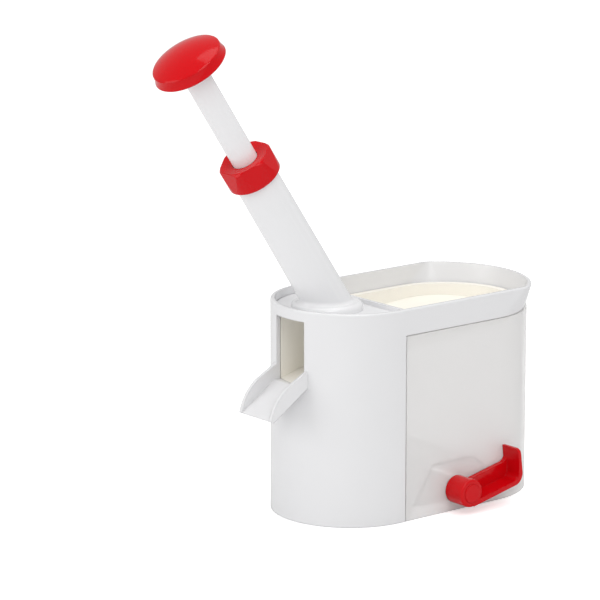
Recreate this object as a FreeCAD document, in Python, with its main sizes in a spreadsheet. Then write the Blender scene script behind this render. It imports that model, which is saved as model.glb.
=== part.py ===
import FreeCAD, Part
import Sketcher
import math
import os
import re

# Cherry pitter with a leaning plunger, a hopper, a pit container and a suction foot with a lever.
# Millimetres. The origin is the centre of the suction cup on the table, +Z up, the chute towards -Y.
# The plunger's own frame has its origin where its axis crosses the level of the rim, and its Z up the axis.

SIZES = {
    "overshoot": 1.0,
    "edge_round": 0.6,
    "fit_gap": 0.3,
    "running_gap": 0.08,
    "press_gap": 0.03,
    "seam_gap": 0.4,
    "body_width": 87.0,
    "nose_setback": 39.5,
    "seam_setback": 36.4,
    "rear_middle": 32.2,
    "band_middle": 30.6,
    "rim_height": 118.0,
    "rim_reach": 76.0,
    "rim_ease": 9.1,
    "rim_corner": 9.0,
    "rim_round": 1.0,
    "band_height": 14.3,
    "shell_wall": 2.4,
    "ledge_width": 2.0,
    "ledge_depth": 1.6,
    "mouth_width": 23.4,
    "mouth_drop": 6.0,
    "scoop_wall": 2.2,
    "scoop_floor": 21.2,
    "scoop_plate": 1.6,
    "scoop_reach": 73.0,
    "scoop_lip": 13.6,
    "scoop_crest": 11.9,
    "scoop_crest_reach": 54.5,
    "scoop_curve": 28.0,
    "plunger_tilt": 33.7,
    "axis_setback": 55.8,
    "deck_drop": 4.4,
    "deck_plate": 2.0,
    "boss_size": 19.5,
    "boss_round": 2.4,
    "tube_blend": 2.0,
    "ridge_setback": 30.5,
    "ridge_wall": 2.0,
    "ridge_drop": 2.0,
    "shelf_depth": 1.0,
    "hook_width": 10.0,
    "hook_length": 5.0,
    "hook_wall": 2.0,
    "hook_catch": 1.5,
    "tube_size": 11.9,
    "tube_base_size": 12.7,
    "tube_bore": 10.0,
    "tube_foot": 12.0,
    "cap_seat": 89.1,
    "neck_size": 11.0,
    "neck_length": 8.6,
    "lug_size": 12.4,
    "lug_reach": 12.1,
    "lug_width": 6.0,
    "lug_height": 2.4,
    "cap_size": 14.9,
    "cap_height": 13.4,
    "cap_lip": 2.0,
    "cap_roof": 2.3,
    "cap_rim": 2.0,
    "cap_edge": 1.0,
    "flat_count": 6,
    "flat_reach": 13.3,
    "flat_skirt": 1.6,
    "bush_plate": 1.2,
    "stem_size": 7.1,
    "stem_bore": 5.4,
    "stem_foot": 60.0,
    "stem_top": 173.0,
    "stem_end_plate": 4.0,
    "collar_size": 9.7,
    "collar_height": 3.0,
    "knob_seat": 164.6,
    "knob_size": 20.4,
    "knob_crease": 19.4,
    "knob_side_curve": 14.0,
    "knob_skirt": 5.6,
    "knob_shoulder": 0.5,
    "knob_shoulder_rise": 0.6,
    "knob_dome": 4.6,
    "knob_wall": 2.2,
    "knob_roof": 1.6,
    "knob_boss": 10.0,
    "needle_size": 2.5,
    "needle_flute": 0.7,
    "needle_flute_length": 7.5,
    "needle_edge": 0.4,
    "needle_top": 80.0,
    "needle_tip": 13.0,
    "holder_length": 22.0,
    "stripper_flange": 2.0,
    "stripper_flange_size": 11.9,
    "stripper_depth": 8.0,
    "stripper_funnel": 1.6,
    "washer_plate": 1.0,
    "washer_hole": 3.1,
    "spring_size": 8.55,
    "spring_wire": 1.1,
    "spring_turns": 13,
    "spring_seat_gap": 0.05,
    "well_size": 13.0,
    "well_wall": 2.3,
    "well_floor": 47.0,
    "well_floor_plate": 1.6,
    "well_floor_rim": 3.0,
    "seat_level": 41.0,
    "well_crest": 32.0,
    "seat_hole": 4.5,
    "seat_dish": 3.5,
    "seat_rim": 1.4,
    "seat_slit": 0.5,
    "seat_slit_reach": 7.0,
    "retainer_height": 1.0,
    "retainer_width": 2.0,
    "tray_wall": 2.0,
    "tray_front_edge_drop": 21.4,
    "tray_rear_edge_drop": 14.9,
    "tray_front_middle_drop": 27.7,
    "tray_rear_middle_drop": 18.1,
    "tray_flat": 12.0,
    "duct_wall": 2.0,
    "duct_sill_drop": 41.8,
    "container_wall": 2.0,
    "container_window": 56.0,
    "window_strip": 4.0,
    "tunnel_height": 28.3,
    "tunnel_front": 14.9,
    "tunnel_rear": 14.9,
    "tunnel_heel": 51.0,
    "axle_height": 12.2,
    "axle_size": 4.0,
    "axle_end_size": 2.4,
    "axle_end_reach": 3.5,
    "crank_size": 2.4,
    "crank_throw": 1.2,
    "cup_size": 28.0,
    "cup_edge": 3.0,
    "cup_bevel": 1.5,
    "cup_boss": 14.0,
    "cup_height": 4.2,
    "cup_floor": 1.4,
    "cup_lip": 1.2,
    "stud_size": 7.0,
    "stud_flange": 11.0,
    "stud_top": 16.0,
    "mount_size": 27.0,
    "mount_top_size": 25.0,
    "mount_gap": 0.1,
    "mount_level": 6.1,
    "mount_plate": 1.8,
    "mount_rim": 2.0,
    "post_reach": 10.0,
    "post_width": 3.0,
    "post_depth": 18.0,
    "bridge_level": 20.0,
    "bridge_plate": 2.5,
    "bridge_reach": 24.0,
    "bridge_depth": 16.0,
    "screw_reach": 19.0,
    "screw_size": 1.5,
    "screw_bite": 3.0,
    "screw_boss": 3.6,
    "screw_head": 3.0,
    "screw_head_height": 1.8,
    "screw_slot": 0.8,
    "lever_gap": 0.5,
    "hub_size": 7.8,
    "hub_length": 13.0,
    "hub_edge": 1.2,
    "web_wall": 3.0,
    "rim_wall": 2.6,
    "arm_slope": 12.0,
    "arm_reach": 31.5,
    "arm_rise": 3.2,
    "arm_corner": 6.5,
    "arm_throat": 4.6,
    "arm_fold": 4.0,
    "tab_reach": 37.4,
    "tab_rise": 6.8,
    "tab_top": 31.4,
    "tab_front": 33.8,
    "tab_wall": 1.9,
    "tab_neck": 6.4,
    "tab_lean": 0.8,
    "tab_corner": 3.0,
    "plug_size": 5.2,
    "plug_height": 0.6,
    "plug_depth": 1.6,
    "clip_plate": 0.9,
    "clip_size": 4.0,
    "clip_groove": 1.9,
    "clip_place": 0.4,
}

doc = FreeCAD.newDocument("cherry_pitter")
sheet = doc.addObject("Spreadsheet::Sheet", "dims")
for row, (alias, number) in enumerate(SIZES.items(), start=1):
    sheet.set("A%d" % row, alias)
    sheet.set("B%d" % row, str(number))
    sheet.setAlias("B%d" % row, alias)
doc.recompute()
reader = doc.addObject("App::FeaturePython", "reader")

SUBPARTS = []
NORMAL = FreeCAD.Vector(0, 0, 1)
LATERAL = FreeCAD.Vector(1, 0, 0)
TOUCH = 0.01

# Lengths worked out from the driving dimensions, as expressions
HALF = "(body_width/2)"
NOSE_FRONT = "(nose_setback+body_width/2)"
BAND_FOOT = "(rim_height-band_height)"
LEDGE_TOP = "(rim_height-band_height+ledge_depth)"
DECK_FOOT = "(rim_height-deck_drop-deck_plate)"
MOUTH_TOP = "(rim_height-mouth_drop)"
DUCT_SILL = "(rim_height-duct_sill_drop)"
NECK_TOP = "(cap_seat+neck_length)"
COS = "cos(plunger_tilt*1deg)"
SIN = "sin(plunger_tilt*1deg)"
SCOOP_FACE = "(scoop_floor-scoop_plate)"
STRIPPER_TOP = "(-tube_foot+stripper_depth)"
WELL_OUTER = "(well_size+well_wall)"
CONTAINER_FRONT = "(-seam_setback+seam_gap)"
RIM_CURVE = "(body_width/2+rim_ease)"
CORNER_RUN = "((body_width/2-rim_corner)/(body_width/2+rim_ease-rim_corner))"
CORNER_RISE = "sqrt(1-%s^2)" % CORNER_RUN
TUNNEL_TOE = "(seam_setback-seam_gap-container_wall)"
CRANK_DROP = "(crank_throw*sqrt(0.5))"
CRANK_HALF = "(stud_size+fit_gap)"
CLIP_FACE = "(post_reach+post_width+clip_place)"
LEVER_FACE = "(body_width/2+lever_gap)"
HUB_END = "(body_width/2+lever_gap+hub_length)"


def link(text):
    """Turns plain size names into references to the sheet."""
    return re.sub(r"[a-z_]{3,}", lambda m: "dims." + m.group() if m.group() in SIZES else m.group(), text)


def value(text):
    """The number that an expression of size names gives now."""
    return float(reader.evalExpression(link(text)))


def leaning(run, rise):
    """Y and Z of a point in the plunger's frame: run across the axis to the rear, rise along it."""
    y = "(-axis_setback+(%s)*%s-(%s)*%s)" % (run, COS, rise, SIN)
    z = "(rim_height+(%s)*%s+(%s)*%s)" % (run, SIN, rise, COS)
    return y, z


def run_at(setback, drop):
    """Where the line at this drop below the plunger frame's origin is this far in front of the cup."""
    return "(-((%s)-axis_setback+(%s)*%s)/%s)" % (setback, drop, SIN, COS)


def keep(label, item):
    """Names an object as one of the pieces that are written out."""
    item.Label = label
    SUBPARTS.append(item)
    return item


def new_body(label):
    return keep(label, doc.addObject("PartDesign::Body", label + "_body"))


def lean(item, run="0", rise="0", field="Placement"):
    """Binds an object's place to a point of the plunger's frame, turned with it."""
    setattr(item, field, FreeCAD.Placement(FreeCAD.Vector(), FreeCAD.Rotation(LATERAL, value("plunger_tilt"))))
    y, z = leaning(run, rise)
    item.setExpression(field + ".Base.y", link(y))
    item.setExpression(field + ".Base.z", link(z))
    item.setExpression(field + ".Rotation.Angle", link("plunger_tilt"))


def leaning_body(label):
    """A body whose own frame is the plunger's."""
    body = new_body(label)
    lean(body)
    return body


def new_sketch(body, role, lift="0"):
    """A sketch on one of the body's origin planes, moved along the plane's normal by lift."""
    plane = [item for item in body.Origin.OriginFeatures if item.Role == role][0]
    sketch = body.newObject("Sketcher::SketchObject", "sketch")
    sketch.AttachmentSupport = [(plane, "")]
    sketch.MapMode = "FlatFace"
    if lift != "0":
        sketch.setExpression("AttachmentOffset.Base.z", link(lift))
    return sketch


def bind(sketch, kind, *elements):
    """Adds a dimension whose last element is an expression of size names."""
    rule = Sketcher.Constraint(kind, *elements[:-1], value(elements[-1]))
    sketch.setExpression("Constraints[%d]" % sketch.addConstraint(rule), link(elements[-1]))


def add_arc(sketch, start, end, radius, side):
    """An arc from start to end that bulges to the right of the way (side 1) or to the left (side -1)."""
    chord = end - start
    rise = math.sqrt(max(radius ** 2 - (chord.Length / 2) ** 2, 0.0))
    left = FreeCAD.Vector(-chord.y, chord.x, 0).normalize()
    centre = (start + end) * 0.5 + left * (rise * side)
    low, high = (start, end) if side > 0 else (end, start)
    first = math.atan2(low.y - centre.y, low.x - centre.x)
    last = math.atan2(high.y - centre.y, high.x - centre.x)
    if last < first:
        last += 2 * math.pi
    sketch.addGeometry(Part.ArcOfCircle(Part.Circle(centre, NORMAL, radius), first, last), False)


def trace(sketch, corners):
    """A closed outline whose corners, and arc radii, are bound to the sheet.

    A corner is (x, y), or (x, y, radius, side) where an arc leads on to the next corner.
    """
    base = sketch.GeometryCount
    points = [FreeCAD.Vector(value(corner[0]), value(corner[1]), 0) for corner in corners]
    ends = []
    for index, corner in enumerate(corners):
        start = points[index]
        end = points[(index + 1) % len(corners)]
        if len(corner) == 2:
            sketch.addGeometry(Part.LineSegment(start, end), False)
            ends.append((1, 2))
        else:
            add_arc(sketch, start, end, value(corner[2]), corner[3])
            ends.append((1, 2) if corner[3] > 0 else (2, 1))
    for index in range(len(corners)):
        after = (index + 1) % len(corners)
        sketch.addConstraint(Sketcher.Constraint("Coincident", base + index, ends[index][1],
                                                 base + after, ends[after][0]))
    for index, corner in enumerate(corners):
        bind(sketch, "DistanceX", -1, 1, base + index, ends[index][0], corner[0])
        bind(sketch, "DistanceY", -1, 1, base + index, ends[index][0], corner[1])
        if len(corner) > 2:
            bind(sketch, "Radius", base + index, corner[2])


def disc(sketch, x, y, radius):
    """A circle whose centre and radius are bound to the sheet."""
    index = sketch.addGeometry(Part.Circle(FreeCAD.Vector(value(x), value(y), 0), NORMAL, value(radius)), False)
    bind(sketch, "DistanceX", -1, 1, index, 3, x)
    bind(sketch, "DistanceY", -1, 1, index, 3, y)
    bind(sketch, "Radius", index, radius)


def slab(sketch, low_x, high_x, low_y, high_y):
    """A rectangle bound to the sheet."""
    trace(sketch, [(low_x, low_y), (high_x, low_y), (high_x, high_y), (low_x, high_y)])


def extrude(body, kind, sketch, length, both_ways=False, along=True):
    """A pad or pocket of the sketch, along the plane's normal or against it, or half to each side."""
    item = body.newObject("PartDesign::" + kind, kind.lower())
    item.Profile = sketch
    item.setExpression("Length", link(length))
    if both_ways:
        item.SideType = "Symmetric"
    else:
        item.Reversed = along == (kind == "Pocket")
    doc.recompute()
    return item


def revolve(body, profile):
    """Turns a profile of (radius, height) corners about the body's Z axis."""
    sketch = new_sketch(body, "XZ_Plane")
    trace(sketch, profile)
    item = body.newObject("PartDesign::Revolution", "revolution")
    item.Profile = sketch
    item.ReferenceAxis = (sketch, ["V_Axis"])
    item.Angle = 360
    doc.recompute()


def loft(body, kind, lower, upper):
    """A straight-sided loft between two sketches."""
    item = body.newObject("PartDesign::" + kind, kind.lower())
    item.Profile = lower
    item.Sections = [upper]
    item.Ruled = True
    doc.recompute()


def leaning_primitive(body, kind, rise, **sizes):
    """An additive or subtractive primitive set in the plunger's frame."""
    item = body.newObject("PartDesign::" + kind, kind.lower())
    for name, text in sizes.items():
        item.setExpression(name, link(text))
    item.AttachmentSupport = [([entry for entry in body.Origin.OriginFeatures if entry.Role == "XY_Plane"][0], "")]
    item.MapMode = "FlatFace"
    lean(item, rise=rise, field="AttachmentOffset")
    doc.recompute()
    return item


def fillet(body, size, wanted):
    """Rounds the edges of the body's last feature that wanted() picks."""
    tip = body.Tip
    names = ["Edge%d" % number for number, edge in enumerate(tip.Shape.Edges, start=1) if wanted(edge)]
    item = body.newObject("PartDesign::Fillet", "fillet")
    item.Base = (tip, names)
    item.setExpression("Radius", link(size))
    doc.recompute()


def at_height(edge, height):
    """True where an edge lies flat at this height."""
    return abs(edge.BoundBox.ZMin - height) < TOUCH and abs(edge.BoundBox.ZMax - height) < TOUCH


def nose_outline(sketch, inset, rear):
    """The plan of the rounded nose, drawn in by inset, and closed at Y = rear."""
    half = "(%s-(%s))" % (HALF, inset)
    trace(sketch, [
        ("-" + half, rear),
        ("-" + half, "-nose_setback", half, 1),
        ("0", "-nose_setback-" + half, half, 1),
        (half, "-nose_setback"),
        (half, rear),
    ])


def round_rear(inset, middle):
    """Corners of a half-round rear end, drawn in by inset, from the right side to the left."""
    half = "(%s-(%s))" % (HALF, inset)
    end_x = "%s*%s" % (half, CORNER_RUN)
    end_y = "(%s+%s*%s)" % (middle, half, CORNER_RISE)
    return [(half, middle, half, 1), (end_x, end_y, half, 1), ("-" + end_x, end_y, half, 1), ("-" + half, middle)]


def rim_rear(inset):
    """Corners of the rim's rear end: two tight corners and a flatter curve between them."""
    half = "(%s-(%s))" % (HALF, inset)
    middle = "(rim_reach-%s)" % RIM_CURVE
    side_y = "(%s+(%s-rim_corner)*%s)" % (middle, RIM_CURVE, CORNER_RISE)
    curve = "(%s-(%s))" % (RIM_CURVE, inset)
    end_x = "%s*%s" % (curve, CORNER_RUN)
    end_y = "(%s+%s*%s)" % (middle, curve, CORNER_RISE)
    return [(half, side_y, "rim_corner-(%s)" % inset, 1), (end_x, end_y, curve, 1),
            ("-" + end_x, end_y, "rim_corner-(%s)" % inset, 1), ("-" + half, side_y)]


def box_outline(sketch, inset, front, middle="rear_middle"):
    """The plan of the rear part: square at the front, half-round at the rear."""
    half = "(%s-(%s))" % (HALF, inset)
    trace(sketch, [("-" + half, front), (half, front)] + round_rear(inset, middle))


def full_outline(sketch, inset, rear):
    """The plan of the whole body: rounded nose, straight sides, and the rear end given."""
    half = "(%s-(%s))" % (HALF, inset)
    trace(sketch, [
        ("-" + half, "-nose_setback", half, 1),
        ("0", "-nose_setback-" + half, half, 1),
        (half, "-nose_setback"),
    ] + rear)


# Housing: the nose, the hopper's band, the mouth and the scoop in one moulding
def make_housing():
    body = new_body("housing")
    plan = new_sketch(body, "XY_Plane")
    nose_outline(plan, "0", "-seam_setback")
    extrude(body, "Pad", plan, "rim_height")

    lower = new_sketch(body, "XY_Plane", BAND_FOOT)
    full_outline(lower, "0", round_rear("0", "band_middle"))
    upper = new_sketch(body, "XY_Plane", "rim_height")
    full_outline(upper, "0", rim_rear("0"))
    loft(body, "AdditiveLoft", lower, upper)

    inside_wall = NOSE_FRONT + "-shell_wall-overshoot"
    scoop = new_sketch(body, "YZ_Plane")
    trace(scoop, [
        leaning(run_at(inside_wall, "scoop_lip"), "-scoop_lip"),
        leaning("-scoop_crest_reach", "-scoop_crest") + ("scoop_curve", 1),
        leaning("-scoop_reach", "-" + SCOOP_FACE),
        leaning("-scoop_reach+overshoot", "-scoop_floor"),
        leaning(run_at(inside_wall, "scoop_floor"), "-scoop_floor"),
    ])
    extrude(body, "Pad", scoop, "mouth_width+2*scoop_wall", both_ways=True)

    hollow = new_sketch(body, "XY_Plane")
    nose_outline(hollow, "shell_wall", "-seam_setback+overshoot")
    extrude(body, "Pocket", hollow, LEDGE_TOP)

    inner_lower = new_sketch(body, "XY_Plane", BAND_FOOT)
    full_outline(inner_lower, "shell_wall", round_rear("shell_wall", "band_middle"))
    inner_upper = new_sketch(body, "XY_Plane", "rim_height")
    full_outline(inner_upper, "shell_wall", rim_rear("shell_wall"))
    loft(body, "SubtractiveLoft", inner_lower, inner_upper)

    ledge = new_sketch(body, "XY_Plane", BAND_FOOT)
    box_outline(ledge, "shell_wall-fit_gap", "-seam_setback", "band_middle")
    extrude(body, "Pad", ledge, "ledge_depth")
    opening = new_sketch(body, "XY_Plane", BAND_FOOT)
    box_outline(opening, "shell_wall+ledge_width", "-seam_setback-overshoot", "band_middle")
    extrude(body, "Pocket", opening, "ledge_depth")

    shelf = new_sketch(body, "XY_Plane", DECK_FOOT + "-shelf_depth")
    nose_outline(shelf, "shell_wall-fit_gap", "-ridge_setback-ridge_wall")
    extrude(body, "Pad", shelf, "shelf_depth")
    window = new_sketch(body, "XY_Plane", DECK_FOOT + "-shelf_depth")
    nose_outline(window, "shell_wall+ledge_width", "-ridge_setback")
    extrude(body, "Pocket", window, "shelf_depth")

    channel = new_sketch(body, "YZ_Plane")
    trace(channel, [
        ("-nose_setback", DUCT_SILL),
        ("-nose_setback", MOUTH_TOP),
        ("-nose_setback-body_width", MOUTH_TOP),
        leaning("-scoop_reach-scoop_floor", "-" + SCOOP_FACE),
        leaning(run_at(NOSE_FRONT, SCOOP_FACE), "-" + SCOOP_FACE),
    ])
    extrude(body, "Pocket", channel, "mouth_width", both_ways=True)

    rim = value("rim_height")
    inner = value(HALF + "-shell_wall")
    fillet(body, "rim_round", lambda edge: at_height(edge, rim)
           and max(abs(edge.BoundBox.XMin), abs(edge.BoundBox.XMax)) > inner + TOUCH)
    return body


# Deck with the boss and the leaning guide tube, hooked under the nose's shelf
def make_plunger_guide():
    body = new_body("plunger_guide")
    plan = new_sketch(body, "XY_Plane", DECK_FOOT)
    nose_outline(plan, "shell_wall+fit_gap", "-ridge_setback")
    extrude(body, "Pad", plan, "deck_plate")

    boss = new_sketch(body, "XY_Plane", DECK_FOOT)
    disc(boss, "0", "-axis_setback", "boss_size")
    extrude(body, "Pad", boss, "deck_plate+deck_drop")
    boss_top = value("rim_height")
    fillet(body, "boss_round", lambda edge: at_height(edge, boss_top))

    ridge = new_sketch(body, "XY_Plane", DECK_FOOT)
    half = "(%s-shell_wall-fit_gap)" % HALF
    slab(ridge, "-" + half, half, "-ridge_setback-ridge_wall", "-ridge_setback")
    extrude(body, "Pad", ridge, "deck_plate+deck_drop-ridge_drop")

    inner = "(%s-shell_wall-ledge_width-fit_gap-hook_wall)" % HALF
    outer = "(%s-shell_wall-ledge_width-fit_gap)" % HALF
    catch = "(%s-shell_wall-ledge_width-fit_gap+hook_catch)" % HALF
    hooks = new_sketch(body, "XY_Plane", DECK_FOOT)
    barbs = new_sketch(body, "XY_Plane", DECK_FOOT + "-hook_length")
    for sketch, reach in ((hooks, outer), (barbs, catch)):
        for low, high in ((inner, reach), ("-" + reach, "-" + inner)):
            slab(sketch, low, high, "-nose_setback-hook_width/2", "-nose_setback+hook_width/2")
    extrude(body, "Pad", hooks, "hook_length", along=False)
    extrude(body, "Pad", barbs, "hook_length-shelf_depth-fit_gap")

    leaning_primitive(body, "AdditiveCone", "-tube_foot", Radius1="tube_base_size", Radius2="tube_size",
                      Height="tube_foot+cap_seat")
    fillet(body, "tube_blend", lambda edge: at_height(edge, boss_top)
           and edge.BoundBox.XLength < 2 * value("tube_base_size") + TOUCH)
    leaning_primitive(body, "AdditiveCylinder", "cap_seat-overshoot", Radius="neck_size",
                      Height="neck_length+overshoot")
    lugs = leaning_primitive(body, "AdditiveBox", "cap_seat+cap_lip+fit_gap", Length="lug_width",
                             Width="2*lug_reach", Height="lug_height")
    lugs.setExpression("AttachmentOffset.Base.x", link("-lug_width/2"))
    lean_y, lean_z = leaning("-lug_reach", "cap_seat+cap_lip+fit_gap")
    lugs.setExpression("AttachmentOffset.Base.y", link(lean_y))
    lugs.setExpression("AttachmentOffset.Base.z", link(lean_z))
    below = "(-tube_foot-2*tube_base_size)"
    leaning_primitive(body, "SubtractiveCylinder", below, Radius="tube_base_size-fit_gap",
                      Height="2*tube_base_size")
    leaning_primitive(body, "SubtractiveCylinder", below, Radius="tube_bore",
                      Height="2*tube_base_size+tube_foot+%s+overshoot" % NECK_TOP)
    return body


# Cap that locks on the tube's lugs by a quarter turn, with six grip flats that fade out in its skirt
def make_screw_cap():
    body = leaning_body("screw_cap")
    top = "(cap_seat+cap_height)"
    bore = "(lug_size+fit_gap)"
    bush_top = "(%s+bush_plate+fit_gap)" % NECK_TOP
    revolve(body, [
        ("neck_size+fit_gap", "cap_seat"),
        ("cap_size-edge_round", "cap_seat"),
        ("cap_size", "cap_seat+edge_round"),
        ("cap_size", top + "-cap_edge"),
        ("cap_size-cap_edge", top),
        ("cap_size-cap_rim", top),
        ("stem_size+fit_gap+cap_edge", bush_top + "+cap_roof"),
        ("stem_size+fit_gap", bush_top + "+cap_roof"),
        ("stem_size+fit_gap", bush_top),
        (bore, bush_top),
        (bore, "cap_seat+cap_lip"),
        ("neck_size+fit_gap", "cap_seat+cap_lip"),
    ])
    notch = new_sketch(body, "XY_Plane", "cap_seat")
    slab(notch, "-" + bore, bore, "-lug_width/2-fit_gap", "lug_width/2+fit_gap")
    extrude(body, "Pocket", notch, "cap_lip+press_gap")

    flat = new_sketch(body, "YZ_Plane")
    slope = "((cap_size-flat_reach)/(cap_height-flat_skirt))"
    trace(flat, [
        ("flat_reach-overshoot*" + slope, top + "+overshoot"),
        ("cap_size+overshoot*" + slope, "cap_seat+flat_skirt-overshoot"),
        ("cap_size+2*overshoot", "cap_seat+flat_skirt-overshoot"),
        ("cap_size+2*overshoot", top + "+overshoot"),
    ])
    cut = extrude(body, "Pocket", flat, "2*cap_size", both_ways=True)
    ring = body.newObject("PartDesign::PolarPattern", "flats")
    ring.Originals = [cut]
    ring.Axis = ([item for item in body.Origin.OriginFeatures if item.Role == "Z_Axis"][0], [""])
    ring.Angle = 360
    ring.setExpression("Occurrences", link("flat_count"))
    body.Tip = ring
    doc.recompute()
    return body


# Ring between the tube's end and the cap, in which the stem runs
def make_cap_bush():
    body = leaning_body("cap_bush")
    revolve(body, [
        ("stem_size+running_gap", NECK_TOP),
        ("lug_size-fit_gap", NECK_TOP),
        ("lug_size-fit_gap", NECK_TOP + "+bush_plate"),
        ("stem_size+running_gap", NECK_TOP + "+bush_plate"),
    ])
    return body


# Hollow stem with the collar that the spring pushes up
def make_plunger_stem():
    body = leaning_body("plunger_stem")
    revolve(body, [
        ("stem_bore", "stem_foot"),
        ("stem_size-edge_round", "stem_foot"),
        ("stem_size", "stem_foot+edge_round"),
        ("stem_size", NECK_TOP + "-collar_height"),
        ("collar_size", NECK_TOP + "-collar_height"),
        ("collar_size", NECK_TOP),
        ("stem_size", NECK_TOP),
        ("stem_size", "stem_top"),
        ("0", "stem_top"),
        ("0", "stem_top-stem_end_plate"),
        ("stem_bore", "stem_top-stem_end_plate"),
    ])
    return body


# Domed push knob, hollow from below, with the socket for the stem
def make_knob():
    body = leaning_body("knob")
    shoulder = "(knob_seat+knob_skirt)"
    dome_foot = "(knob_seat+knob_skirt+knob_shoulder_rise)"
    dome_side = "(knob_crease-knob_shoulder)"
    dome_curve = "((%s^2+knob_dome^2)/(2*knob_dome))" % dome_side
    revolve(body, [
        ("stem_size+press_gap", "knob_seat+overshoot"),
        ("knob_boss-edge_round", "knob_seat+overshoot"),
        ("knob_boss", shoulder + "-knob_roof"),
        ("knob_crease-knob_wall", shoulder + "-knob_roof"),
        ("knob_size-knob_wall", "knob_seat"),
        ("knob_size-edge_round", "knob_seat"),
        ("knob_size", "knob_seat+edge_round", "knob_side_curve", -1),
        ("knob_crease", shoulder),
        (dome_side, dome_foot, dome_curve, 1),
        ("0", dome_foot + "+knob_dome"),
        ("0", "stem_top+press_gap"),
        ("stem_size+press_gap", "stem_top+press_gap"),
    ])
    return body


# Plug that holds the needle in the stem
def make_needle_holder():
    body = leaning_body("needle_holder")
    revolve(body, [
        ("needle_size+press_gap", "stem_foot"),
        ("stem_bore-press_gap", "stem_foot"),
        ("stem_bore-press_gap", "stem_foot+holder_length"),
        ("0", "stem_foot+holder_length"),
        ("0", "needle_top"),
        ("needle_size+press_gap", "needle_top"),
    ])
    return body


# Steel pin with a four-winged tip
def make_needle():
    body = leaning_body("needle")
    revolve(body, [
        ("0", "-needle_tip"),
        ("needle_size-needle_edge", "-needle_tip"),
        ("needle_size", "-needle_tip+needle_edge"),
        ("needle_size", "needle_top-needle_edge"),
        ("needle_size-needle_edge", "needle_top"),
        ("0", "needle_top"),
    ])
    flutes = new_sketch(body, "XY_Plane", "-needle_tip")
    near, far = "needle_flute", "needle_size"
    for low_x, high_x in ((near, far), ("-" + far, "-" + near)):
        for low_y, high_y in ((near, far), ("-" + far, "-" + near)):
            slab(flutes, low_x, high_x, low_y, high_y)
    extrude(body, "Pocket", flutes, "needle_flute_length")
    return body


# Return spring between the washer and the stem's collar
def make_plunger_spring():
    low = "(%s+washer_plate+spring_wire/2+spring_seat_gap)" % STRIPPER_TOP
    high = "(%s-collar_height-spring_wire/2-spring_seat_gap)" % NECK_TOP
    coil = doc.addObject("Part::Helix", "spring_line")
    coil.setExpression("Height", link("%s-%s" % (high, low)))
    coil.setExpression("Pitch", link("(%s-%s)/spring_turns" % (high, low)))
    coil.setExpression("Radius", link("spring_size"))
    wire = doc.addObject("Part::Circle", "spring_section")
    wire.setExpression("Radius", link("spring_wire/2"))
    wire.Placement = FreeCAD.Placement(FreeCAD.Vector(), FreeCAD.Rotation(LATERAL, 90))
    wire.setExpression("Placement.Base.x", link("spring_size"))
    spring = doc.addObject("Part::Sweep", "spring")
    spring.Sections = [wire]
    spring.Spine = coil
    spring.Solid = True
    spring.Frenet = True
    lean(spring, rise=low)
    doc.recompute()
    return keep("plunger_spring", spring)


# Washer under the spring
def make_spring_washer():
    body = leaning_body("spring_washer")
    revolve(body, [
        ("washer_hole", STRIPPER_TOP),
        ("tube_bore-running_gap", STRIPPER_TOP),
        ("tube_bore-running_gap", STRIPPER_TOP + "+washer_plate"),
        ("washer_hole", STRIPPER_TOP + "+washer_plate"),
    ])
    return body


# Bush at the tube's foot that strips the cherry off the needle
def make_stripper_bush():
    body = leaning_body("stripper_bush")
    foot = "(-tube_foot-stripper_flange)"
    revolve(body, [
        ("needle_size+running_gap", foot + "+edge_round"),
        ("needle_size+stripper_funnel", foot),
        ("stripper_flange_size-edge_round", foot),
        ("stripper_flange_size", foot + "+edge_round"),
        ("stripper_flange_size", "-tube_foot"),
        ("tube_bore-press_gap", "-tube_foot"),
        ("tube_bore-press_gap", STRIPPER_TOP),
        ("needle_size+running_gap", STRIPPER_TOP),
    ])
    return body


# Rubber seat: a dished ring with crossed slits that the pit is pushed through
def make_cherry_seat():
    body = leaning_body("cherry_seat")
    foot = "(-well_floor+well_floor_plate)"
    revolve(body, [
        ("seat_hole", foot),
        ("well_size-press_gap", foot),
        ("well_size-press_gap", "-seat_level-retainer_height"),
        ("well_size-seat_rim", "-seat_level-retainer_height"),
        ("seat_hole", "-seat_level-seat_dish"),
    ])
    for long_x, long_y in (("seat_slit_reach", "seat_slit/2"), ("seat_slit/2", "seat_slit_reach")):
        slit = new_sketch(body, "XY_Plane", foot)
        slab(slit, "-" + long_x, long_x, "-" + long_y, long_y)
        extrude(body, "Pocket", slit, "well_floor")
    return body


# Ring that holds the rubber seat down
def make_seat_retainer():
    body = leaning_body("seat_retainer")
    revolve(body, [
        ("well_size-retainer_width", "-seat_level-retainer_height"),
        ("well_size-press_gap", "-seat_level-retainer_height"),
        ("well_size-press_gap", "-seat_level"),
        ("well_size-seat_rim", "-seat_level"),
    ])
    return body


def plunger_frame():
    """The plunger's frame as a placement, for solids that are not bound by expressions."""
    y, z = leaning("0", "0")
    return FreeCAD.Placement(FreeCAD.Vector(0, value(y), value(z)), FreeCAD.Rotation(LATERAL, value("plunger_tilt")))


def leaning_cylinder(radius, low, high):
    """A cylinder about the plunger's axis, from low to high in its frame."""
    cylinder = Part.makeCylinder(radius, high - low, FreeCAD.Vector(0, 0, low))
    cylinder.Placement = plunger_frame()
    return cylinder


def rounded_block(half, front, middle, low, high):
    """A block with a half-round rear end about the point (0, middle)."""
    left, right = FreeCAD.Vector(-half, middle, low), FreeCAD.Vector(half, middle, low)
    front_left, front_right = FreeCAD.Vector(-half, front, low), FreeCAD.Vector(half, front, low)
    end = Part.Arc(right, FreeCAD.Vector(0, middle + half, low), left).toShape()
    sides = [Part.makeLine(left, front_left), Part.makeLine(front_left, front_right),
             Part.makeLine(front_right, right)]
    return Part.Face(Part.Wire(sides + [end])).extrude(NORMAL * (high - low))


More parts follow.
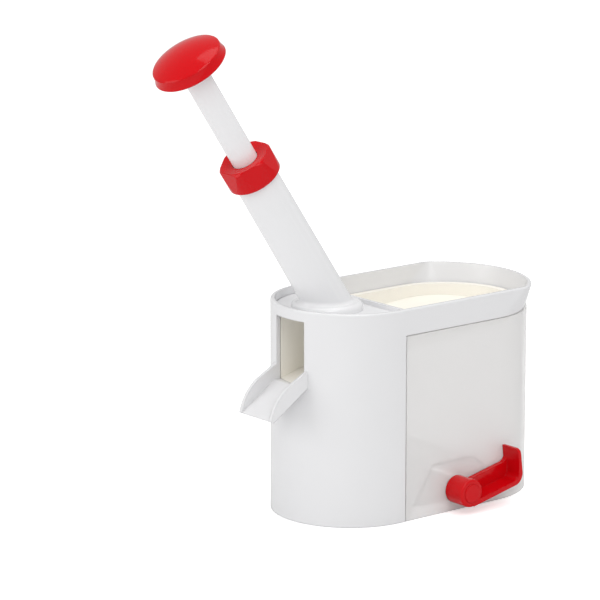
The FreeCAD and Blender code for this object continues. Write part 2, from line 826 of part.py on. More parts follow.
def hopper_space(half, front, rear, drop, top):
    """The space above the tray's sloping floor, the floor lowered by drop."""
    flat = value("tray_flat")
    wall_x = value(HALF + "-shell_wall-ledge_width-fit_gap")
    first_y = -value("ridge_setback")
    last_y = value("band_middle") + wall_x
    front_middle = value("rim_height-tray_front_middle_drop")
    front_edge = value("rim_height-tray_front_edge_drop")
    sections = []
    for y in (front, rear):
        share = (y - first_y) / (last_y - first_y)
        middle = front_middle + share * value("tray_front_middle_drop-tray_rear_middle_drop") - drop
        at_wall = front_edge + share * value("tray_front_edge_drop-tray_rear_edge_drop") - drop
        edge = middle + (at_wall - middle) * (half - flat) / (wall_x - flat)
        points = ((-half, edge), (-flat, middle), (flat, middle), (half, edge), (half, top), (-half, top))
        corners = [FreeCAD.Vector(x, y, z) for x, z in points]
        sections.append(Part.makePolygon(corners + corners[:1]))
    return Part.makeLoft(sections, True, True)


# Hopper tray: a warped floor that leads the cherries to the well under the plunger.
# The floor is twisted between unlike sections, so it is made with solid functions.
def make_hopper_tray():
    wall = value("tray_wall")
    over = value("overshoot")
    far = value("body_width")
    half = value(HALF + "-shell_wall-ledge_width-fit_gap")
    front = value("-ridge_setback+fit_gap")
    middle = value("band_middle")
    rear = middle + half
    flange_half = value(HALF + "-shell_wall-fit_gap")
    ledge = value(LEDGE_TOP)
    deepest = value("rim_height-tray_front_middle_drop-2*tray_wall")

    shell = rounded_block(half, front, middle, deepest, ledge + wall)
    shell = shell.common(hopper_space(half + over, front - over, rear + over, wall, far + ledge))
    flange = rounded_block(flange_half, front, middle, ledge, ledge + wall)
    room = rounded_block(half - wall, front + wall, middle, deepest - over, ledge + far)
    room = room.common(hopper_space(half, front, rear, 0.0, ledge + far))
    tray = shell.fuse(flange)

    frame = plunger_frame()
    well = value("well_size")
    well_outer = value(WELL_OUTER)
    floor = -value("well_floor")
    before_axis = Part.makeBox(2 * far, far, 3 * far, FreeCAD.Vector(-far, -far, -2 * far))
    before_axis.Placement = frame
    socket = leaning_cylinder(well_outer, floor, -value("seat_level"))
    rise = leaning_cylinder(well_outer, floor, -value("well_crest"))
    profile = [
        ("-ridge_setback+tray_wall", "rim_height-tray_front_middle_drop-4*tray_wall"),
        ("-ridge_setback+tray_wall", DECK_FOOT + "-fit_gap"),
        (leaning("-" + WELL_OUTER, "-well_crest")[0], DECK_FOOT + "-fit_gap"),
        leaning("-" + WELL_OUTER, "-well_crest"),
        leaning("-" + WELL_OUTER, "-well_floor"),
        leaning("0", "-well_floor"),
    ]
    corners = [FreeCAD.Vector(well, value(y), value(z)) for y, z in profile]
    cheek = Part.Face(Part.makePolygon(corners + corners[:1])).extrude(FreeCAD.Vector(well_outer - well, 0, 0))
    other_cheek = cheek.mirror(FreeCAD.Vector(), LATERAL)
    tray = tray.fuse([socket, rise.common(before_axis), cheek, other_cheek])
    tray = tray.cut(room)
    tray = tray.cut(leaning_cylinder(well, floor + value("well_floor_plate"), far))
    tray = tray.cut(leaning_cylinder(well - value("well_floor_rim"), floor - over, far))
    gate = Part.makeBox(2 * well, wall + 2 * over, far, FreeCAD.Vector(-well, front - over, deepest + 2 * wall))
    item = doc.addObject("Part::Feature", "tray")
    item.Shape = tray.cut(gate).removeSplitter()
    return keep("hopper_tray", item)


# Duct from the well to the mouth
def make_cherry_duct():
    body = new_body("cherry_duct")
    rear, crest = leaning("-(%s+fit_gap)" % WELL_OUTER, "-well_crest")
    front = "(-nose_setback-%s+shell_wall)" % HALF
    top = "(%s-shelf_depth-fit_gap)" % DECK_FOOT
    side = new_sketch(body, "YZ_Plane")
    trace(side, [(rear, crest + "-duct_wall"), (rear, top), (front, top), (front, DUCT_SILL + "-duct_wall")])
    extrude(body, "Pad", side, "mouth_width+2*duct_wall", both_ways=True)
    inside = new_sketch(body, "YZ_Plane")
    trace(inside, [
        (rear + "+overshoot", crest),
        (rear + "+overshoot", top + "+overshoot"),
        (front + "-overshoot", top + "+overshoot"),
        (front + "-overshoot", DUCT_SILL),
        (front, DUCT_SILL),
        (rear, crest),
    ])
    extrude(body, "Pocket", inside, "mouth_width", both_ways=True)
    outside = new_sketch(body, "XY_Plane")
    slab(outside, "-body_width", "body_width", "-2*body_width", "body_width")
    nose_outline(outside, "shell_wall+fit_gap", "0")
    extrude(body, "Pocket", outside, "rim_height")
    leaning_primitive(body, "SubtractiveCylinder", "(-tube_foot-stripper_flange-fit_gap)",
                      Radius="tube_base_size+fit_gap", Height="2*tube_foot")
    return body


def tunnel_side(toe, top, level):
    """Y of the tunnel's inner face at a level, for a slope that leads from toe on the table to top."""
    run = "(%s-%s)" % (toe, top)
    shift = "(container_wall*sqrt(%s^2+tunnel_height^2)/tunnel_height)" % run
    return "(%s-%s-(%s)*%s/tunnel_height)" % (toe, shift, level, run)


# Pit container with the tunnel in its floor for the suction foot
def make_container():
    body = new_body("container")
    middle_front = CONTAINER_FRONT + "+container_wall/2"
    base = new_sketch(body, "XY_Plane")
    box_outline(base, "container_wall/2", middle_front)
    extrude(body, "Pad", base, "container_wall")

    hump = new_sketch(body, "YZ_Plane")
    trace(hump, [
        ("-" + TUNNEL_TOE, "0"),
        ("tunnel_heel", "0"),
        ("tunnel_rear", "tunnel_height"),
        ("-tunnel_front", "tunnel_height"),
    ])
    extrude(body, "Pad", hump, "body_width", both_ways=True)
    roof = "(tunnel_height-container_wall)"
    under = new_sketch(body, "YZ_Plane")
    trace(under, [
        ("-" + tunnel_side(TUNNEL_TOE, "tunnel_front", "-overshoot"), "-overshoot"),
        (tunnel_side("tunnel_heel", "tunnel_rear", "-overshoot"), "-overshoot"),
        (tunnel_side("tunnel_heel", "tunnel_rear", roof), roof),
        ("-" + tunnel_side(TUNNEL_TOE, "tunnel_front", roof), roof),
    ])
    extrude(body, "Pocket", under, "body_width+overshoot", both_ways=True)

    outside = new_sketch(body, "XY_Plane", "-overshoot")
    slab(outside, "-body_width", "body_width", "-body_width", "2*body_width")
    box_outline(outside, "container_wall/2", middle_front)
    extrude(body, "Pocket", outside, "tunnel_height+2*overshoot")
    walls = new_sketch(body, "XY_Plane")
    box_outline(walls, "0", CONTAINER_FRONT)
    box_outline(walls, "container_wall", CONTAINER_FRONT + "+container_wall")
    extrude(body, "Pad", walls, BAND_FOOT + "-seam_gap")

    boss_foot = "(bridge_level+bridge_plate)"
    bosses = new_sketch(body, "XY_Plane", boss_foot)
    pilots = new_sketch(body, "XY_Plane", boss_foot)
    for side in ("-screw_reach", "screw_reach"):
        disc(bosses, side, "0", "screw_boss")
        disc(pilots, side, "0", "screw_size+press_gap")
    extrude(body, "Pad", bosses, "tunnel_height-%s-container_wall/2" % boss_foot)
    extrude(body, "Pocket", pilots, "screw_bite+fit_gap")

    window = new_sketch(body, "XZ_Plane", "-(%s+container_wall+overshoot)" % CONTAINER_FRONT)
    half = "(%s-container_wall-window_strip)" % HALF
    slab(window, "-" + half, half, "container_window", "rim_height")
    extrude(body, "Pocket", window, "container_wall+2*overshoot")

    bore = new_sketch(body, "YZ_Plane", HALF + "+overshoot")
    disc(bore, "0", "axle_height", "axle_size+fit_gap")
    extrude(body, "Pocket", bore, "container_wall+2*overshoot", along=False)
    return body


# Rigid disc over the suction cup, with the posts that carry the shaft and the bridge that is screwed up
def make_suction_mount():
    body = new_body("suction_mount")
    plate_top = "(mount_level+mount_plate)"
    revolve(body, [
        ("stud_size+fit_gap", "mount_level"),
        ("mount_top_size-mount_rim", "mount_level"),
        ("mount_size-mount_rim", "cup_edge+mount_gap"),
        ("mount_size", "cup_edge+mount_gap"),
        ("mount_top_size", plate_top),
        ("stud_size+fit_gap", plate_top),
    ])
    posts = new_sketch(body, "XY_Plane", "mount_level")
    for low, high in (("post_reach", "post_reach+post_width"), ("-post_reach-post_width", "-post_reach")):
        slab(posts, low, high, "-post_depth/2", "post_depth/2")
    extrude(body, "Pad", posts, "bridge_level-mount_level+bridge_plate/2")
    bridge = new_sketch(body, "XY_Plane", "bridge_level")
    slab(bridge, "-bridge_reach", "bridge_reach", "-bridge_depth/2", "bridge_depth/2")
    extrude(body, "Pad", bridge, "bridge_plate")
    holes = new_sketch(body, "XY_Plane", "bridge_level")
    access = new_sketch(body, "XY_Plane")
    for side in ("-screw_reach", "screw_reach"):
        disc(holes, side, "0", "screw_size+fit_gap")
        disc(access, side, "0", "screw_head+seam_gap")
    extrude(body, "Pocket", holes, "bridge_plate+overshoot")
    extrude(body, "Pocket", access, plate_top + "+overshoot")
    near = new_sketch(body, "YZ_Plane")
    disc(near, "0", "axle_height", "axle_size+running_gap")
    extrude(body, "Pocket", near, "mount_size")
    far = new_sketch(body, "YZ_Plane")
    disc(far, "0", "axle_height", "axle_end_size+running_gap")
    extrude(body, "Pocket", far, "mount_size", along=False)
    return body


# Two screws up through the bridge into the container's bosses
def make_mount_screws():
    screws = []
    for side in ("-screw_reach", "screw_reach"):
        shank = doc.addObject("Part::Cylinder", "shank")
        shank.setExpression("Radius", link("screw_size"))
        shank.setExpression("Height", link("bridge_plate+screw_bite"))
        head = doc.addObject("Part::Cylinder", "head")
        head.setExpression("Radius", link("screw_head"))
        head.setExpression("Height", link("screw_head_height"))
        slot = doc.addObject("Part::Box", "slot")
        slot.setExpression("Length", link("2*screw_head"))
        slot.setExpression("Width", link("screw_slot"))
        slot.setExpression("Height", link("screw_head_height/2"))
        head_level = "bridge_level-screw_head_height"
        places = (
            (shank, side, "0", "bridge_level"),
            (head, side, "0", head_level),
            (slot, side + "-screw_head", "-screw_slot/2", head_level),
        )
        for item, x, y, z in places:
            item.setExpression("Placement.Base.x", link(x))
            item.setExpression("Placement.Base.y", link(y))
            item.setExpression("Placement.Base.z", link(z))
        blank = doc.addObject("Part::Fuse", "screw_blank")
        blank.Base = shank
        blank.Tool = head
        screw = doc.addObject("Part::Cut", "screw")
        screw.Base = blank
        screw.Tool = slot
        screws.append(screw)
    group = doc.addObject("Part::Compound", "screws")
    group.Links = screws
    doc.recompute()
    return keep("mount_screws", group)


# Rubber cup: flat below when it is let go, with the stud's flange held in its boss
def make_suction_cup():
    body = new_body("suction_cup")
    revolve(body, [
        ("0", "0"),
        ("cup_size", "0"),
        ("cup_size", "cup_edge-edge_round"),
        ("cup_size-cup_bevel", "cup_edge"),
        ("cup_boss", "cup_edge"),
        ("cup_boss", "cup_height"),
        (CRANK_HALF, "cup_height"),
        (CRANK_HALF, "cup_height-cup_lip"),
        ("stud_flange+fit_gap", "cup_height-cup_lip"),
        ("stud_flange+fit_gap", "cup_floor"),
        ("0", "cup_floor"),
    ])
    return body


# Stud in the cup with the slot that the shaft's crank lifts
def make_cup_stud():
    body = new_body("cup_stud")
    flange_top = "(cup_height-cup_lip-fit_gap)"
    revolve(body, [
        ("0", "cup_floor+mount_gap"),
        ("stud_flange", "cup_floor+mount_gap"),
        ("stud_flange", flange_top),
        ("stud_size", flange_top),
        ("stud_size", "stud_top-edge_round"),
        ("stud_size-edge_round", "stud_top"),
        ("0", "stud_top"),
    ])
    slot = new_sketch(body, "YZ_Plane")
    middle = "(axle_height-%s)" % CRANK_DROP
    room = "(crank_size+running_gap)"
    reach = "(crank_throw+crank_size+fit_gap)"
    slab(slot, "-" + reach, reach, middle + "-" + room, middle + "+" + room)
    extrude(body, "Pocket", slot, "4*stud_size", both_ways=True)
    return body


# Shaft with the crank between its two journals
def make_lever_shaft():
    body = new_body("lever_shaft")
    near = new_sketch(body, "YZ_Plane", CRANK_HALF)
    disc(near, "0", "axle_height", "axle_size")
    extrude(body, "Pad", near, "%s-plug_depth-fit_gap-%s" % (HUB_END, CRANK_HALF))
    crank = new_sketch(body, "YZ_Plane")
    disc(crank, CRANK_DROP, "axle_height-" + CRANK_DROP, "crank_size")
    extrude(body, "Pad", crank, "2*(%s+overshoot)" % CRANK_HALF, both_ways=True)
    end = "(post_reach+post_width+axle_end_reach)"
    far = new_sketch(body, "YZ_Plane", "-" + end)
    disc(far, "0", "axle_height", "axle_end_size")
    extrude(body, "Pad", far, end + "-" + CRANK_HALF)
    groove = new_sketch(body, "YZ_Plane", "-(%s+clip_plate+running_gap)" % CLIP_FACE)
    disc(groove, "0", "axle_height", "axle_end_size+overshoot")
    disc(groove, "0", "axle_height", "clip_groove")
    extrude(body, "Pocket", groove, "clip_plate+2*running_gap")
    return body


# Open ring that keeps the shaft from sliding out
def make_shaft_clip():
    body = new_body("shaft_clip")
    ring = new_sketch(body, "YZ_Plane", "-" + CLIP_FACE)
    disc(ring, "0", "axle_height", "clip_size")
    disc(ring, "0", "axle_height", "clip_groove+press_gap")
    extrude(body, "Pad", ring, "clip_plate", along=False)
    gap = new_sketch(body, "YZ_Plane", "-%s+overshoot" % CLIP_FACE)
    slab(gap, "-clip_groove+press_gap", "clip_groove-press_gap", "axle_height-clip_size-overshoot", "axle_height")
    extrude(body, "Pocket", gap, "clip_plate+2*overshoot", along=False)
    return body


# Lever: hub, web on the wall side, and the rim that turns up into the thumb tab
def make_lever():
    body = new_body("lever")
    hub = new_sketch(body, "YZ_Plane", LEVER_FACE)
    disc(hub, "0", "axle_height", "hub_size")
    extrude(body, "Pad", hub, "hub_length")
    hub_end = value(HUB_END)
    fillet(body, "hub_edge", lambda edge: abs(edge.BoundBox.XMin - hub_end) < TOUCH)

    slope = "tan(arm_slope*1deg)"
    start_y = "(hub_size*sin(arm_slope*1deg))"
    start_z = "(axle_height-hub_size*cos(arm_slope*1deg))"
    bend_z = "(%s+(arm_reach-%s)*%s)" % (start_z, start_y, slope)
    throat_y = "(arm_reach-tab_lean)"
    throat_z = "(axle_height+arm_rise+%s*%s)" % (throat_y, slope)
    back = [
        (start_y, start_z),
        ("arm_reach", bend_z, "arm_corner", 1),
        ("tab_reach", bend_z + "+tab_rise"),
        ("tab_front+tab_wall", "tab_top"),
        ("tab_front", "tab_top"),
    ]
    web = new_sketch(body, "YZ_Plane", LEVER_FACE)
    trace(web, back + [
        ("tab_front+tab_lean", "tab_top-tab_neck", "arm_throat", -1),
        (throat_y, throat_z),
        ("0", "axle_height+arm_rise"),
        ("0", "axle_height"),
    ])
    extrude(body, "Pad", web, "web_wall")
    rim = new_sketch(body, "YZ_Plane", LEVER_FACE)
    trace(rim, back + [
        ("tab_front+tab_lean", "tab_top-tab_neck"),
        ("tab_reach-rim_wall", bend_z + "+tab_rise", "arm_fold", -1),
        ("arm_reach-tab_lean", bend_z + "+rim_wall"),
        (start_y, start_z + "+rim_wall"),
    ])
    extrude(body, "Pad", rim, "hub_length")
    tab_level = value("tab_top-overshoot")
    fillet(body, "tab_corner", lambda edge: abs(edge.BoundBox.XMin - hub_end) < TOUCH
           and abs(edge.BoundBox.ZMax - edge.BoundBox.ZMin) < TOUCH and edge.BoundBox.ZMin > tab_level)
    bore = new_sketch(body, "YZ_Plane", LEVER_FACE + "-overshoot")
    disc(bore, "0", "axle_height", "axle_size+press_gap")
    extrude(body, "Pocket", bore, "hub_length+2*overshoot")
    recess = new_sketch(body, "YZ_Plane", HUB_END + "-plug_depth")
    disc(recess, "0", "axle_height", "plug_size+press_gap")
    extrude(body, "Pocket", recess, "plug_depth+overshoot")
    return body


# Plug that closes the hub's end
def make_hub_plug():
    body = new_body("hub_plug")
    face = new_sketch(body, "YZ_Plane", HUB_END + "-plug_depth")
    disc(face, "0", "axle_height", "plug_size")
    extrude(body, "Pad", face, "plug_depth+plug_height")
    end = value(HUB_END + "+plug_height")
    fillet(body, "plug_height", lambda edge: abs(edge.BoundBox.XMin - end) < TOUCH)
    return body


MAKERS = (
    make_housing, make_plunger_guide, make_screw_cap, make_cap_bush, make_plunger_stem, make_knob,
    make_needle_holder, make_needle, make_plunger_spring, make_spring_washer, make_stripper_bush,
    make_cherry_seat, make_seat_retainer, make_hopper_tray, make_cherry_duct, make_container,
    make_suction_mount, make_mount_screws, make_suction_cup, make_cup_stud, make_lever_shaft,
    make_shaft_clip, make_lever, make_hub_plug,
)
for maker in MAKERS:
    maker()
doc.recompute()

for item in doc.Objects:
    if "Invalid" in item.State or "Error" in item.State:
        raise RuntimeError("%s failed: %s" % (item.Name, item.State))
for item in SUBPARTS:
    if item.Shape.isNull() or not item.Shape.isValid() or item.Shape.Volume <= 0:
        raise RuntimeError("%s has no valid shape" % item.Label)
os.makedirs("parts", exist_ok=True)
for item in SUBPARTS:
    item.Shape.exportStep("parts/%s.step" % item.Label)
    box = item.Shape.BoundBox
    print("%-16s %9.1f mm3  x %6.1f %6.1f  y %6.1f %6.1f  z %6.1f %6.1f  solids %d" % (
        item.Label, item.Shape.Volume, box.XMin, box.XMax, box.YMin, box.YMax, box.ZMin, box.ZMax,
        len(item.Shape.Solids)))
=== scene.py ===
"""Cherry pitter with lever: finishes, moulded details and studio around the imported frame. Metres."""

import math

import bmesh
import bpy
from mathutils import Matrix, Vector


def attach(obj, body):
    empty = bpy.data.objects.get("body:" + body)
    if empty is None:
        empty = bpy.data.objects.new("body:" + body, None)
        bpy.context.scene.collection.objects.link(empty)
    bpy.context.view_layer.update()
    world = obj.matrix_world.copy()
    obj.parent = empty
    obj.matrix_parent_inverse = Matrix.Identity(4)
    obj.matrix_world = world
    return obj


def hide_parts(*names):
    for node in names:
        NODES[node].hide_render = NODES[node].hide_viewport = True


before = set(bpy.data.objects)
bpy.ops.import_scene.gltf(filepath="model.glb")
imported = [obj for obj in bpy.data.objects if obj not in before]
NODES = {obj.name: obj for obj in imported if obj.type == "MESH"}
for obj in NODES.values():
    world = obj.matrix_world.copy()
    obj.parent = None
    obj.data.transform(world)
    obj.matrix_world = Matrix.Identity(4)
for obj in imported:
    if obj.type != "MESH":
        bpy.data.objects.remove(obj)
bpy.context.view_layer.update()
SCENE = bpy.context.scene
MM = 0.001

# The plunger's frame: tilt forward from upright, and its origin on the rim's level
TILT = math.radians(33.7)
AXIS_ORIGIN = Vector((0, -55.8 * MM, 118 * MM))

# Textures of the finishes, in the objects' own coordinates
FLOW_SCALE = 14
FLOW_DETAIL = 3
PEEL_DETAIL = 2
PEEL_DEPTH = 0.1 * MM
EDGE_SAMPLES = 6
STEEL_SCALE = 60
STEEL_DETAIL = 6
STEEL_SHADE = 0.8


def material(name):
    """A new node material, with its nodes, links and shader at hand."""
    made = bpy.data.materials.new(name)
    made.use_nodes = True
    nodes = made.node_tree.nodes
    return made, nodes, made.node_tree.links, nodes["Principled BSDF"]


def noise(nodes, links, scale, detail):
    """A noise that is fixed to the object's own coordinates, from 0 to 1."""
    place = nodes.new("ShaderNodeTexCoord")
    item = nodes.new("ShaderNodeTexNoise")
    item.inputs["Scale"].default_value = scale
    item.inputs["Detail"].default_value = detail
    links.new(place.outputs["Object"], item.inputs["Vector"])
    return item.outputs["Fac"]


def spread(nodes, links, source, low, high):
    """Maps an output from 0..1 to low..high."""
    item = nodes.new("ShaderNodeMapRange")
    item.inputs["To Min"].default_value = low
    item.inputs["To Max"].default_value = high
    links.new(source, item.inputs["Value"])
    return item.outputs["Result"]


def tint(nodes, links, source, dark, light):
    """Blends two colours by a texture's output."""
    item = nodes.new("ShaderNodeMix")
    item.data_type = "RGBA"
    item.inputs["A"].default_value = (*dark, 1)
    item.inputs["B"].default_value = (*light, 1)
    links.new(source, item.inputs["Factor"])
    return item.outputs["Result"]


def moulded(name, dark, light, rough, peel=0.05, peel_scale=900, gloss=0.5, alpha=1.0, edge=0.5):
    """Moulded plastic or rubber: faint flow variation in colour and gloss, fine orange peel, softened edges.

    The edge is the radius of the softening in millimetres.
    """
    made, nodes, links, shader = material(name)
    flow = noise(nodes, links, FLOW_SCALE, FLOW_DETAIL)
    links.new(tint(nodes, links, flow, dark, light), shader.inputs["Base Color"])
    links.new(spread(nodes, links, flow, *rough), shader.inputs["Roughness"])
    soft = nodes.new("ShaderNodeBevel")
    soft.samples = EDGE_SAMPLES
    soft.inputs["Radius"].default_value = edge * MM
    bump = nodes.new("ShaderNodeBump")
    bump.inputs["Strength"].default_value = peel
    bump.inputs["Distance"].default_value = PEEL_DEPTH
    links.new(noise(nodes, links, peel_scale, PEEL_DETAIL), bump.inputs["Height"])
    links.new(soft.outputs["Normal"], bump.inputs["Normal"])
    links.new(bump.outputs["Normal"], shader.inputs["Normal"])
    shader.inputs["Specular IOR Level"].default_value = gloss
    shader.inputs["Alpha"].default_value = alpha
    return made


def steel(name, light, rough):
    """Bright steel with a fine variation in shade and gloss."""
    made, nodes, links, shader = material(name)
    grain = noise(nodes, links, STEEL_SCALE, STEEL_DETAIL)
    dark = tuple(STEEL_SHADE * channel for channel in light)
    links.new(tint(nodes, links, grain, dark, light), shader.inputs["Base Color"])
    links.new(spread(nodes, links, grain, *rough), shader.inputs["Roughness"])
    shader.inputs["Metallic"].default_value = 1.0
    return made


WHITE = moulded(
    "white_plastic", dark=(0.80, 0.80, 0.81), light=(0.84, 0.84, 0.85), rough=(0.16, 0.26), edge=0.8)
BODY_WHITE = moulded(
    "body_plastic", dark=(0.745, 0.745, 0.755), light=(0.785, 0.785, 0.795), rough=(0.14, 0.24), edge=0.8)
RED = moulded(
    "red_plastic", dark=(0.56, 0.0012, 0.004), light=(0.64, 0.002, 0.006), rough=(0.10, 0.18),
    peel=0.06, gloss=0.2)
MILKY = moulded(
    "milky_plastic", dark=(0.94, 0.93, 0.925), light=(0.97, 0.965, 0.96), rough=(0.34, 0.46),
    peel=0.25, peel_scale=420, gloss=0.35, alpha=0.60, edge=0.8)
INNER = moulded(
    "inner_plastic", dark=(0.90, 0.87, 0.79), light=(0.94, 0.91, 0.84), rough=(0.38, 0.52),
    peel=0.15, gloss=0.4)
RUBBER = moulded(
    "seat_rubber", dark=(0.60, 0.58, 0.53), light=(0.68, 0.66, 0.61), rough=(0.50, 0.66),
    peel=0.35, peel_scale=500, gloss=0.35)
STEEL = steel("bright_steel", light=(0.62, 0.62, 0.63), rough=(0.20, 0.34))

FINISH = {
    "housing": BODY_WHITE, "plunger_guide": WHITE, "plunger_stem": WHITE,
    "screw_cap": RED, "knob": RED, "lever": RED, "hub_plug": RED,
    "container": MILKY,
    "hopper_tray": INNER, "cherry_duct": INNER, "cap_bush": INNER, "stripper_bush": INNER,
    "needle_holder": INNER, "seat_retainer": INNER, "suction_mount": INNER, "cup_stud": INNER,
    "lever_shaft": INNER,
    "cherry_seat": RUBBER, "suction_cup": RUBBER,
    "needle": STEEL, "plunger_spring": STEEL, "spring_washer": STEEL, "mount_screws": STEEL,
    "shaft_clip": STEEL,
}
for node, finish in FINISH.items():
    mesh = NODES[node].data
    mesh.materials.clear()
    mesh.materials.append(finish)

# New pieces: turns of a lathe, steps of an arc, and the angle above which an edge stays sharp
LATHE_TURNS = 96
ARC_STEPS = 4
SHARP_ANGLE = math.radians(38)


def lathe(name, profile):
    """A closed solid of revolution about Z from (radius, height) points in millimetres."""
    mesh = bmesh.new()
    angles = [2 * math.pi * step / LATHE_TURNS for step in range(LATHE_TURNS)]
    rings = []
    for radius, height in profile:
        if radius == 0:
            rings.append([mesh.verts.new((0, 0, height * MM))])
            continue
        rings.append([
            mesh.verts.new((radius * math.cos(angle) * MM, radius * math.sin(angle) * MM, height * MM))
            for angle in angles
        ])
    for lower, upper in zip(rings, rings[1:] + rings[:1]):
        if len(lower) == 1 and len(upper) == 1:
            continue
        for step in range(LATHE_TURNS):
            after = (step + 1) % LATHE_TURNS
            corners = [lower[step % len(lower)], lower[after % len(lower)],
                       upper[after % len(upper)], upper[step % len(upper)]]
            mesh.faces.new(list(dict.fromkeys(corners)))
    bmesh.ops.recalc_face_normals(mesh, faces=mesh.faces)
    return linked(name, mesh)


def linked(name, mesh):
    """A new object in the scene that takes over a bmesh."""
    data = bpy.data.meshes.new(name)
    mesh.to_mesh(data)
    mesh.free()
    item = bpy.data.objects.new(name, data)
    SCENE.collection.objects.link(item)
    return item


def finish_piece(piece, body, surface):
    """Gives a new piece its surface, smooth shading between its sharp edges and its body."""
    piece.data.materials.clear()
    piece.data.materials.append(surface)
    for face in piece.data.polygons:
        face.use_smooth = True
    piece.data.set_sharp_from_angle(angle=SHARP_ANGLE)
    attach(piece, body)


def arc_points(radius, level, rounding, first, last):
    """Points of a rounding in a profile, about (radius, level), between two angles in degrees."""
    angles = [math.radians(first + (last - first) * step / ARC_STEPS) for step in range(ARC_STEPS + 1)]
    return [(radius + rounding * math.cos(angle), level + rounding * math.sin(angle)) for angle in angles]


# Suction cup, in millimetres: a disc with a hollow underside, two ribs in it and a sealing bead round it
CUP_RADIUS = 28.0
CUP_TOP = 2.95
FOOT_ROUND = 0.4
SHOULDER_ROUND = 0.5
SHOULDER_LEVEL = 2.3
BEAD_RADIUS = 27.0
HOLLOW_RADIUS = 26.5
HOLLOW_DEPTH = 0.5
HOLLOW_STEP = 0.5
HOLLOW_POINTS = 53
RIB_RADII = (14.0, 20.5)
RIB_PEAK = 0.22
RIB_HEIGHT = 0.2
RIB_WIDTH = 0.5
# Its boss, which the stud pulls up, stands in a well in the top of the disc
BOSS_RADIUS = 13.9
BOSS_FOOT = 1.45
BOSS_TOP = 4.15
BOSS_BORE = 7.35
STUD_RECESS_RADIUS = 11.4
STUD_RECESS_TOP = 3.05
WELL_RADIUS = 14.15
WELL_FLOOR = 1.3


def cup_underside():
    """The hollow from its middle outwards: a shallow dome with two ribs hanging in it."""
    points = []
    for step in range(HOLLOW_POINTS):
        radius = HOLLOW_STEP * step
        dome = HOLLOW_DEPTH * (1 - (radius / HOLLOW_RADIUS) ** 2)
        rib = sum(RIB_PEAK * math.exp(-((radius - middle) / RIB_WIDTH) ** 2) for middle in RIB_RADII)
        points.append((radius, dome - min(rib, RIB_HEIGHT)))
    return points


cup_disc = lathe("cup_disc", [
    *cup_underside(),
    (HOLLOW_RADIUS + 0.1, 0.1),
    (BEAD_RADIUS, 0),
    *arc_points(CUP_RADIUS - FOOT_ROUND, FOOT_ROUND, FOOT_ROUND, -90, 0),
    *arc_points(CUP_RADIUS - SHOULDER_ROUND, SHOULDER_LEVEL, SHOULDER_ROUND, 0, 60),
    (CUP_RADIUS - 1.4, CUP_TOP - 0.05),
    (CUP_RADIUS - 4.0, CUP_TOP),
    (WELL_RADIUS + 0.25, CUP_TOP),
    (WELL_RADIUS, CUP_TOP - 0.15),
    (WELL_RADIUS, WELL_FLOOR),
    (0, WELL_FLOOR),
])
cup_boss = lathe("cup_boss", [
    (STUD_RECESS_RADIUS, BOSS_FOOT),
    (BOSS_RADIUS, BOSS_FOOT),
    (BOSS_RADIUS, BOSS_TOP - 0.35),
    (BOSS_RADIUS - 0.3, BOSS_TOP),
    (BOSS_BORE + 0.25, BOSS_TOP),
    (BOSS_BORE, BOSS_TOP - 0.2),
    (BOSS_BORE, STUD_RECESS_TOP),
    (STUD_RECESS_RADIUS, STUD_RECESS_TOP),
])
for piece, body in ((cup_disc, "base"), (cup_boss, "stud")):
    finish_piece(piece, body, RUBBER)
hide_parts("suction_cup")

# Rubber seat, in millimetres from its foot up the plunger's axis: an outer wall, a bowl, and a rolled lip
# round the hole, with crossed slits
SEAT_FOOT = -45.4
SEAT_WALL = [(4.7, 0), (12.6, 0), (12.95, 0.3), (12.95, 3.4), (11.6, 3.4)]
SEAT_BOWL = [(11.2, 3.05), (9.5, 2.25), (7.5, 1.5), (5.6, 1.0)]
SEAT_LIP = [(5.0, 0.98), (4.6, 0.8), (4.5, 0.45), (4.55, 0.15)]
SLIT_LENGTH = 14.0
SLIT_WIDTH = 0.6
SLIT_DEPTH = 12.0


def slit_blades():
    """Two crossed blades that cut the slits, about the seat's foot."""
    mesh = bmesh.new()
    for length, width in ((SLIT_LENGTH, SLIT_WIDTH), (SLIT_WIDTH, SLIT_LENGTH)):
        block = bmesh.ops.create_cube(mesh, size=1.0)
        for vert in block["verts"]:
            vert.co = Vector((
                vert.co.x * length, vert.co.y * width, vert.co.z * SLIT_DEPTH + SEAT_FOOT)) * MM
    return linked("slits", mesh)


def cut_away(piece, blades):
    """Cuts the blades out of a piece and removes them."""
    cut = piece.modifiers.new("slits", "BOOLEAN")
    cut.operation = "DIFFERENCE"
    cut.solver = "EXACT"
    cut.use_self = True
    cut.object = blades
    bpy.context.view_layer.update()
    data = bpy.data.meshes.new_from_object(piece.evaluated_get(bpy.context.evaluated_depsgraph_get()))
    piece.modifiers.clear()
    bpy.data.objects.remove(blades)
    piece.data = data


seat = lathe("slit_seat", [
    (radius, SEAT_FOOT + height) for radius, height in SEAT_WALL + SEAT_BOWL + SEAT_LIP])
cut_away(seat, slit_blades())
seat.data.transform(Matrix.Translation(AXIS_ORIGIN) @ Matrix.Rotation(TILT, 4, "X"))
finish_piece(seat, "upper", RUBBER)
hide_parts("cherry_seat")

# Studio: a pale floor that keeps the shadow, and a surround that the camera sees as white
FLOOR_SPAN = 6.0
FLOOR_DROP = 0.2 * MM
FLOOR_GREY = 0.85
FLOOR_LIFT = 0.52
SURROUND_LIGHT = 0.60
WHITE_LIGHT = (1, 1, 1, 1)

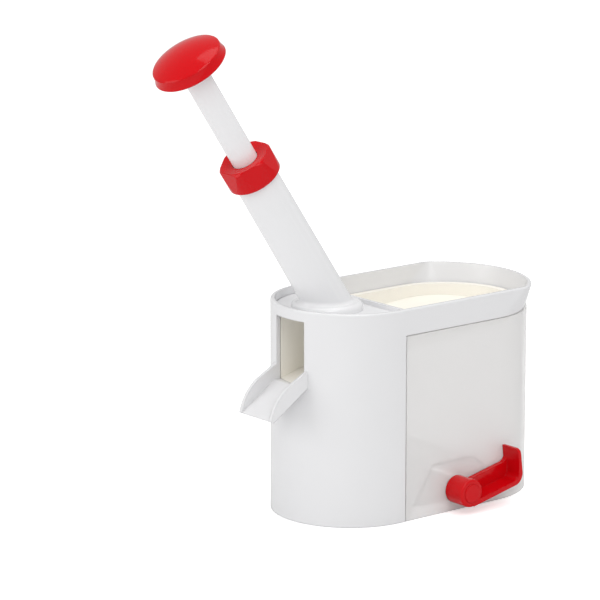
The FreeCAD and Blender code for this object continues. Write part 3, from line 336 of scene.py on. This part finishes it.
corners = [(-FLOOR_SPAN, -FLOOR_SPAN, 0), (FLOOR_SPAN, -FLOOR_SPAN, 0),
           (FLOOR_SPAN, FLOOR_SPAN, 0), (-FLOOR_SPAN, FLOOR_SPAN, 0)]
floor_mesh = bpy.data.meshes.new("floor")
floor_mesh.from_pydata(corners, [], [(0, 1, 2, 3)])
floor = bpy.data.objects.new("floor", floor_mesh)
SCENE.collection.objects.link(floor)
floor.location.z = -FLOOR_DROP


def seen_directly(nodes):
    """1 for the rays from the camera, also where they pass through a see-through finish, and 0 for others."""
    return nodes.new("ShaderNodeLightPath").outputs["Is Camera Ray"]


def floor_paper():
    """Matt paper that looks white to the camera where no shadow falls."""
    made, nodes, links, shader = material("floor_paper")
    shader.inputs["Base Color"].default_value = (FLOOR_GREY, FLOOR_GREY, FLOOR_GREY, 1)
    shader.inputs["Roughness"].default_value = 1.0
    shader.inputs["Specular IOR Level"].default_value = 0.0
    shader.inputs["Emission Color"].default_value = WHITE_LIGHT
    lift = spread(nodes, links, seen_directly(nodes), 0, FLOOR_LIFT)
    links.new(lift, shader.inputs["Emission Strength"])
    return made


floor_mesh.materials.append(floor_paper())

world = bpy.data.worlds.new("studio")
SCENE.world = world
world.use_nodes = True
surround = world.node_tree.nodes["Background"]
surround.inputs["Color"].default_value = WHITE_LIGHT
level = spread(
    world.node_tree.nodes, world.node_tree.links, seen_directly(world.node_tree.nodes), SURROUND_LIGHT, 1)
world.node_tree.links.new(level, surround.inputs["Strength"])


def softbox(name, place, aim, size, power):
    """A square area lamp that looks at a point."""
    lamp = bpy.data.lights.new(name, "AREA")
    lamp.shape = "SQUARE"
    lamp.size = size
    lamp.energy = power
    item = bpy.data.objects.new(name, lamp)
    SCENE.collection.objects.link(item)
    item.location = place
    item.rotation_euler = (Vector(aim) - Vector(place)).to_track_quat("-Z", "Y").to_euler()


softbox("key", place=(1.1, -0.5, 1.2), aim=(0, 0, 0.12), size=0.9, power=8.0)
softbox("fill", place=(-0.5, -1.5, 0.55), aim=(0, -0.06, 0.1), size=1.0, power=6.5)
softbox("top", place=(0, 0.1, 1.5), aim=(0, 0, 0.1), size=1.0, power=6.0)

# Camera: its place and direction are fitted to the photograph's outlines; lens and sensor in millimetres
CAMERA_PLACE = (1.40195, -1.21395, 0.53633)
CAMERA_BACK = Vector((0.75634, -0.61466, 0.22393))
CAMERA_RIGHT = Vector((0.63068, 0.77605, 0))
CAMERA_LENS = 206.92
CAMERA_SENSOR = 36.0
CAMERA_REACH = 20.0

camera_data = bpy.data.cameras.new("camera")
camera_data.sensor_width = CAMERA_SENSOR
camera_data.lens = CAMERA_LENS
camera_data.clip_end = CAMERA_REACH
camera = bpy.data.objects.new("camera", camera_data)
SCENE.collection.objects.link(camera)
camera_axes = Matrix((CAMERA_RIGHT, CAMERA_BACK.cross(CAMERA_RIGHT), CAMERA_BACK)).transposed()
camera.matrix_world = Matrix.Translation(CAMERA_PLACE) @ camera_axes.to_4x4()
SCENE.camera = camera

SCENE.view_settings.view_transform = "Standard"
